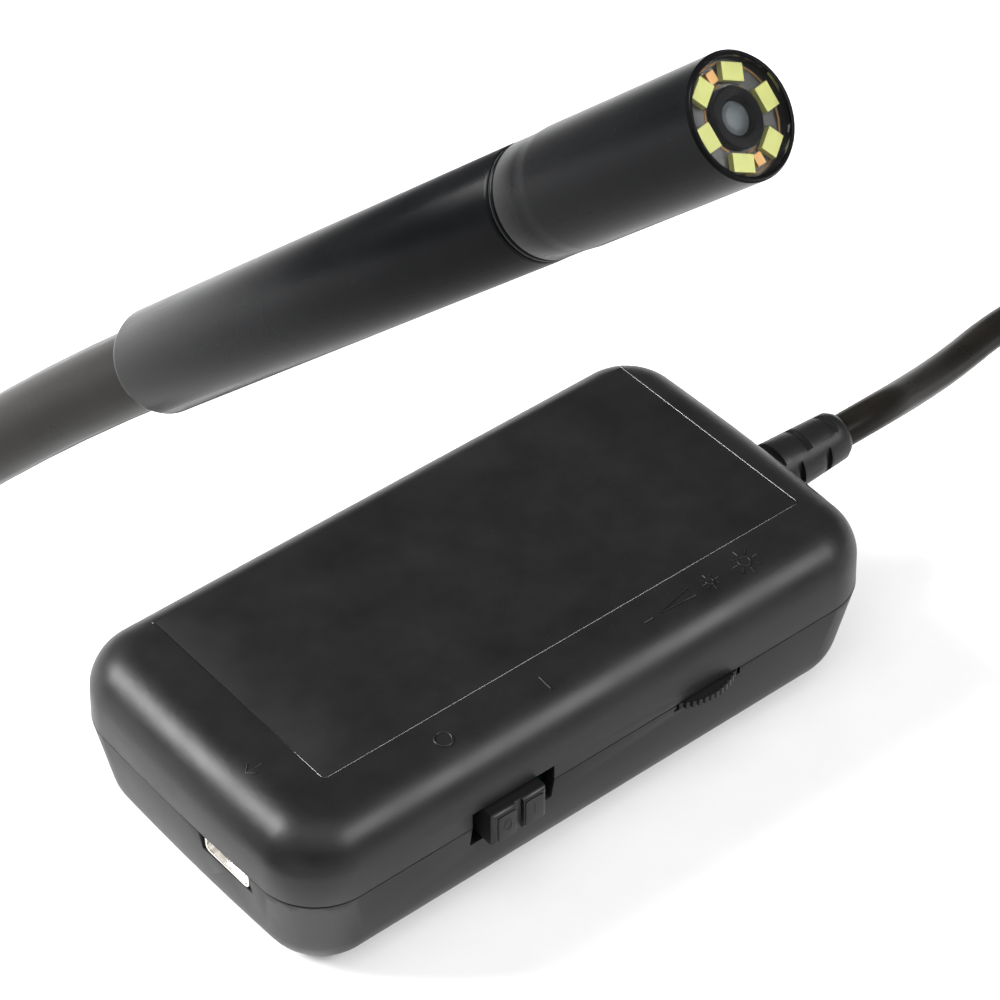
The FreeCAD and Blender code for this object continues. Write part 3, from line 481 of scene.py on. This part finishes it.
# %% Clear glass
def clear_glass(name, tint, rough):
    """Clear optical glass with faint wipe marks in its gloss."""
    material = bpy.data.materials.new(name)
    material.use_nodes = True
    tree = material.node_tree
    shader = tree.nodes["Principled BSDF"]
    shader.inputs["Base Color"].default_value = (*tint, 1.0)
    shader.inputs["Transmission Weight"].default_value = 1.0
    shader.inputs["IOR"].default_value = 1.46
    marks_node = tree.nodes.new("ShaderNodeGroup")
    marks_node.node_tree = marks
    marks_node.inputs["Scale"].default_value = 400.0
    tree.links.new(
        remap(tree, marks_node.outputs["Smear"], 0.0, 1.0, rough, rough + 0.06),
        shader.inputs["Roughness"],
    )
    return material


FINISHES["glass"] = clear_glass("glass", (0.96, 0.98, 0.98), 0.02)
LENS_FACES = {"front_lens": "lens_grey", "light_board": "light_board_black"}

# %% Give every CAD node its own slot's finish
slot_of = {part["node"]: part["material_slot"] for part in record["subparts"]}
for node, obj in frame["nodes"].items():
    obj.data.materials.clear()
    obj.data.materials.append(FINISHES[LENS_FACES.get(node, slot_of[node])])
cable.data.materials.append(FINISHES["jacket_black"])
print("finished", len(frame["nodes"]), "CAD nodes")

# %% Floor finish
floor_paint = finish(
    "floor_paint", (0.90, 0.90, 0.90), (0.92, 0.92, 0.92), 0.85, 40.0, 0.02, 0.00002, dust=0.0
)
floor.data.materials.append(floor_paint)

# %% [markdown]
# ## Moulded skins
# The CAD solids already have the true shape of the covers, the knob, the wheel and the head, but
# as loose triangles. A skin is a welded copy of one: its flat triangles are dissolved into clean
# faces, its sharp rims get a hair-thin bevel that catches the light, and it shades smoothly.

# %% Helper: a welded, bevelled copy of a CAD node
def skin(node, name, body, slot_name, rim=0.12, angle=28.0, segments=2):
    """A smooth skin that stands for one CAD node."""
    piece = bpy.data.objects.new(name, frame["nodes"][node].data.copy())
    bpy.context.scene.collection.objects.link(piece)
    choose(piece)
    bpy.ops.object.mode_set(mode="EDIT")
    bpy.ops.mesh.select_all(action="SELECT")
    bpy.ops.mesh.remove_doubles(threshold=0.002 * MM)
    bpy.ops.mesh.customdata_custom_splitnormals_clear()
    bpy.ops.mesh.dissolve_limited(angle_limit=math.radians(0.4))
    bpy.ops.object.mode_set(mode="OBJECT")
    if rim:
        edge = piece.modifiers.new("rim", "BEVEL")
        edge.width = rim * MM
        edge.segments = segments
        edge.limit_method = "ANGLE"
        edge.angle_limit = math.radians(40)
        edge.use_clamp_overlap = True
        bpy.ops.object.modifier_apply(modifier="rim")
    bpy.ops.object.shade_smooth_by_angle(angle=math.radians(angle))
    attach(piece, body)
    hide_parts(node)
    piece.data.materials.clear()
    piece.data.materials.append(FINISHES[slot_name])
    print(name, len(piece.data.polygons), "faces")


# %% Skins of the control box
skin("top_cover", "top_shell", "camera", "case_black", rim=0.15)
skin("bottom_cover", "bottom_shell", "camera", "case_black", rim=0.15)
skin("strain_relief", "cable_sleeve", "camera", "rubber_black", rim=0.15, angle=35.0)
skin("slider_knob", "power_knob", "power_slider", "knob_black", rim=0.1)
skin("dimmer_wheel", "light_wheel", "brightness_wheel", "knob_black", rim=0.0)
skin("usb_shell", "socket_shell", "camera", "nickel", rim=0.05)

# %% Skins of the camera head
skin("head_tube", "head_barrel", "camera", "head_black", rim=0.05, angle=35.0)
skin("rear_sleeve", "head_sleeve", "camera", "head_black", rim=0.05, angle=35.0)

# %% [markdown]
# ## Fine details
# The top panel is a thin film with a hair-thin bead round three of its sides. Low moulded signs
# stand beside the switch and the wheel: a ring for off, a bar for on, a widening wedge between a
# small and a large sun, and an arrow at the charging end. Each is a fine stroke half sunk in the
# cover, so only a rounded ridge shows.

# %% Heights of the top cover, in millimetres
HALF_LENGTH = case_high.x / MM
HALF_WIDTH = case_high.y / MM
TOP = case_top / MM
TOP_ROUND = 5.4
PANEL_LOW = (-30.4, -12.45)
PANEL_HIGH = (34.3, 17.0)
PANEL_DEPTH = 0.25


def cover_height(x, y):
    """The height of the top cover's surface over a point, with its rounded edges."""
    drop = 0.0
    for reach, half in ((abs(x), HALF_LENGTH), (abs(y), HALF_WIDTH)):
        past = min(max(reach - (half - TOP_ROUND), 0.0), TOP_ROUND)
        drop = max(drop, TOP_ROUND - math.sqrt(TOP_ROUND ** 2 - past ** 2))
    return TOP - drop


print("top at", round(TOP, 2), "and at the long side's turn", round(cover_height(0.0, -17.0), 2))

# %% Helper: a fine rounded ridge along strokes
def ridge(name, strokes, width, slot_name, body="camera", finish_name=None):
    """Rounded strokes through points in millimetres, turned into one mesh piece."""
    curve = bpy.data.curves.new(name, "CURVE")
    curve.dimensions = "3D"
    for stroke in strokes:
        closed = stroke[0] == stroke[-1]
        points = stroke[:-1] if closed else stroke
        spline = curve.splines.new("POLY")
        spline.points.add(len(points) - 1)
        for point, place in zip(spline.points, points):
            point.co = (place[0] * MM, place[1] * MM, place[2] * MM, 1.0)
        spline.use_cyclic_u = closed
    curve.bevel_depth = width * MM / 2
    curve.bevel_resolution = 3
    curve.use_fill_caps = True
    piece = bpy.data.objects.new(name, curve)
    bpy.context.scene.collection.objects.link(piece)
    choose(piece)
    bpy.ops.object.convert(target="MESH")
    piece = bpy.context.object
    bpy.ops.object.shade_smooth()
    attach(piece, body)
    piece.data.materials.clear()
    piece.data.materials.append(FINISHES[finish_name or slot_name])
    print(name, len(piece.data.polygons), "faces")
    return piece


def on_cover(points, sunk=0.02):
    """Stroke points laid on the top cover."""
    return [(x, y, cover_height(x, y) - sunk) for x, y in points]


# %% Panel film
fresh()
FILM_GAP = 0.12
FILM_TOP = TOP - PANEL_DEPTH + 0.15
bpy.ops.mesh.primitive_plane_add(size=2.0)
film = bpy.context.object
film.name = "panel_film"
film_middle = [(low_side + high_side) / 2 for low_side, high_side in zip(PANEL_LOW, PANEL_HIGH)]
film_half = [(high_side - low_side) / 2 for low_side, high_side in zip(PANEL_LOW, PANEL_HIGH)]
bpy.ops.object.mode_set(mode="EDIT")
bpy.ops.mesh.select_all(action="SELECT")
bpy.ops.transform.resize(
    value=((film_half[0] - FILM_GAP) * MM, (film_half[1] - FILM_GAP) * MM, 1.0)
)
bpy.ops.transform.translate(
    value=(film_middle[0] * MM, film_middle[1] * MM, (TOP - PANEL_DEPTH) * MM)
)
bpy.ops.mesh.subdivide(number_cuts=6)
bpy.ops.mesh.select_all(action="SELECT")
bpy.ops.mesh.extrude_region_move(
    TRANSFORM_OT_translate={"value": (0.0, 0.0, (FILM_TOP - TOP + PANEL_DEPTH) * MM)}
)
bpy.ops.mesh.select_all(action="SELECT")
bpy.ops.mesh.normals_make_consistent(inside=False)
bpy.ops.object.mode_set(mode="OBJECT")
film_edge = film.modifiers.new("film_edge", "BEVEL")
film_edge.width = 0.05 * MM
film_edge.segments = 2
film_edge.limit_method = "ANGLE"
choose(film)
bpy.ops.object.modifier_apply(modifier="film_edge")
bpy.ops.object.shade_smooth_by_angle(angle=math.radians(30))
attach(film, "camera")
film.data.materials.append(FINISHES["film_black"])
print("panel film", len(film.data.polygons), "faces")

# %% Bead round the panel
left, front = PANEL_LOW
right, back = PANEL_HIGH
CORNER = 0.5
bead_corners = [(left, back), (left, front + CORNER)]
for step_number in range(1, 6):
    angle = math.pi + math.pi / 2 * step_number / 6
    bead_corners.append(
        (left + CORNER + CORNER * math.cos(angle), front + CORNER + CORNER * math.sin(angle))
    )
bead_corners += [(left + CORNER, front), (right - CORNER, front)]
for step_number in range(1, 6):
    angle = -math.pi / 2 + math.pi / 2 * step_number / 6
    bead_corners.append(
        (right - CORNER + CORNER * math.cos(angle), front + CORNER + CORNER * math.sin(angle))
    )
bead_corners += [(right, front + CORNER), (right, back)]
ridge(
    "panel_bead", [on_cover(bead_corners, 0.03)], 0.15, "case_black", finish_name="bead_black"
)

# %% Signs beside the switch and the wheel
def ring_points(x, y, radius, count=24):
    """A closed ring of points on the cover's plan."""
    points = []
    for i in range(count):
        angle = 2.0 * math.pi * i / count
        points.append((x + radius * math.cos(angle), y + radius * math.sin(angle)))
    return points + [points[0]]


def sun_strokes(x, y, radius, ray):
    """A small disc outline with eight rays."""
    strokes = [ring_points(x, y, radius, 16)]
    for i in range(8):
        angle = math.pi / 4 * i
        near, far = radius + ray * 0.45, radius + ray * 1.45
        strokes.append([
            (x + near * math.cos(angle), y + near * math.sin(angle)),
            (x + far * math.cos(angle), y + far * math.sin(angle)),
        ])
    return strokes


ridge(
    "off_ring", [on_cover(ring_points(-17.6, -15.7, 0.95))], 0.32, "case_black"
)
ridge(
    "on_bar", [on_cover([(-4.4, -17.0), (-4.4, -15.1)])], 0.32, "case_black"
)
ridge(
    "dim_sun", [on_cover(stroke) for stroke in sun_strokes(18.7, -15.6, 0.42, 0.5)], 0.22,
    "case_black",
)
ridge(
    "bright_sun", [on_cover(stroke) for stroke in sun_strokes(23.6, -15.6, 0.68, 0.75)], 0.24,
    "case_black",
)
ridge(
    "dimming_wedge",
    [
        on_cover([(16.2, -16.2), (11.6, -15.9), (16.2, -14.8)]),
        on_cover([(9.2, -15.9), (10.4, -15.9)]),
    ],
    0.3, "case_black",
)
ridge(
    "charging_arrow",
    [
        on_cover([(-33.9, -6.7), (-35.9, -6.7)]),
        on_cover([(-35.1, -7.5), (-35.9, -6.7), (-35.1, -5.9)]),
    ],
    0.22, "case_black",
)

# %% Two pads and their small signs on the sliding knob
face_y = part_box("slider_knob")[0].y / MM
PAD_SUNK = 0.1
PAD_HEIGHT = 0.28


def knob_pad(name, x_low, x_high, z_low, z_high):
    """A raised cushion on the knob's face, with softly rounded rims."""
    fresh()
    bpy.ops.mesh.primitive_plane_add(size=1.0, rotation=(math.pi / 2, 0.0, 0.0))
    pad = bpy.context.object
    pad.name = name
    bpy.ops.object.transform_apply(location=False, rotation=True, scale=False)
    bpy.ops.object.mode_set(mode="EDIT")
    bpy.ops.mesh.select_all(action="SELECT")
    bpy.ops.transform.resize(value=((x_high - x_low) * MM, 1.0, (z_high - z_low) * MM))
    bpy.ops.transform.translate(
        value=((x_low + x_high) / 2 * MM, (face_y + PAD_SUNK) * MM, (z_low + z_high) / 2 * MM)
    )
    bpy.ops.mesh.extrude_region_move(
        TRANSFORM_OT_translate={"value": (0.0, -PAD_HEIGHT * MM, 0.0)}
    )
    bpy.ops.mesh.select_all(action="SELECT")
    bpy.ops.mesh.normals_make_consistent(inside=False)
    bpy.ops.object.mode_set(mode="OBJECT")
    rim = pad.modifiers.new("rim", "BEVEL")
    rim.width = 0.12 * MM
    rim.segments = 3
    bpy.ops.object.modifier_apply(modifier="rim")
    bpy.ops.object.shade_smooth_by_angle(angle=math.radians(35))
    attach(pad, "power_slider")
    pad.data.materials.append(FINISHES["knob_black"])
    print(name, len(pad.data.polygons), "faces")


knob_pad("knob_pad_left", -15.9, -13.5, 11.0, 14.4)
knob_pad("knob_pad_right", -12.3, -9.9, 11.0, 14.4)
sign_y = face_y - 0.17
ridge(
    "knob_signs",
    [
        [(-14.7 + 0.5 * math.cos(a), sign_y, 12.9 + 0.7 * math.sin(a))
         for a in [2.0 * math.pi * i / 16 for i in range(17)]][:-1]
        + [(-14.2, sign_y, 12.9)],
        [(-11.1, sign_y, 12.2), (-11.1, sign_y, 13.6)],
    ],
    0.14, "knob_black", body="power_slider",
)

# %% Copper traces and the window's rim on the camera head
FOOT = Vector((-114.4, -116.7, 192.0))
WAY = Vector((0.149, -0.721, 0.677)).normalized()
SIDE = Vector((0.0, 0.0, 1.0)).cross(WAY).normalized()
UPWARD = WAY.cross(SIDE)


def head_point(along, radius, degrees):
    """A point of the head: along from its foot, radius from its axis, at an angle round it."""
    angle = math.radians(degrees)
    across = SIDE * (radius * math.cos(angle)) + UPWARD * (radius * math.sin(angle))
    return tuple(FOOT + WAY * along + across)


def head_arc(along, radius, start, stop, count=10):
    """Points along an arc round the head's axis."""
    return [
        head_point(along, radius, start + (stop - start) * i / count) for i in range(count + 1)
    ]


BOARD_FACE = 44.3
WINDOW_EDGE = 44.97
SEAM_PLACE = 31.5
trace_arcs = []
for i in range(6):
    gap = 28.0 + 60.0 * i
    trace_arcs.append(head_arc(BOARD_FACE, 2.28, gap - 24.0, gap + 24.0))
    trace_arcs.append(head_arc(BOARD_FACE, 1.42, gap - 11.0, gap + 11.0))
ridge("board_traces", trace_arcs, 0.09, "orange_part", finish_name="copper_trace")
rim_ring = head_arc(WINDOW_EDGE, 2.56, 0.0, 360.0, 48)
rim_ring[-1] = rim_ring[0]
ridge("window_rim", [rim_ring], 0.12, "head_black")
seam_points = head_arc(SEAM_PLACE, 2.43, 0.0, 360.0, 48)
seam_points[-1] = seam_points[0]
seam_bead = ridge("head_seam", [seam_points], 0.42, "head_black")
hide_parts("seam_ring")

# %% Update the scene
bpy.context.view_layer.update()
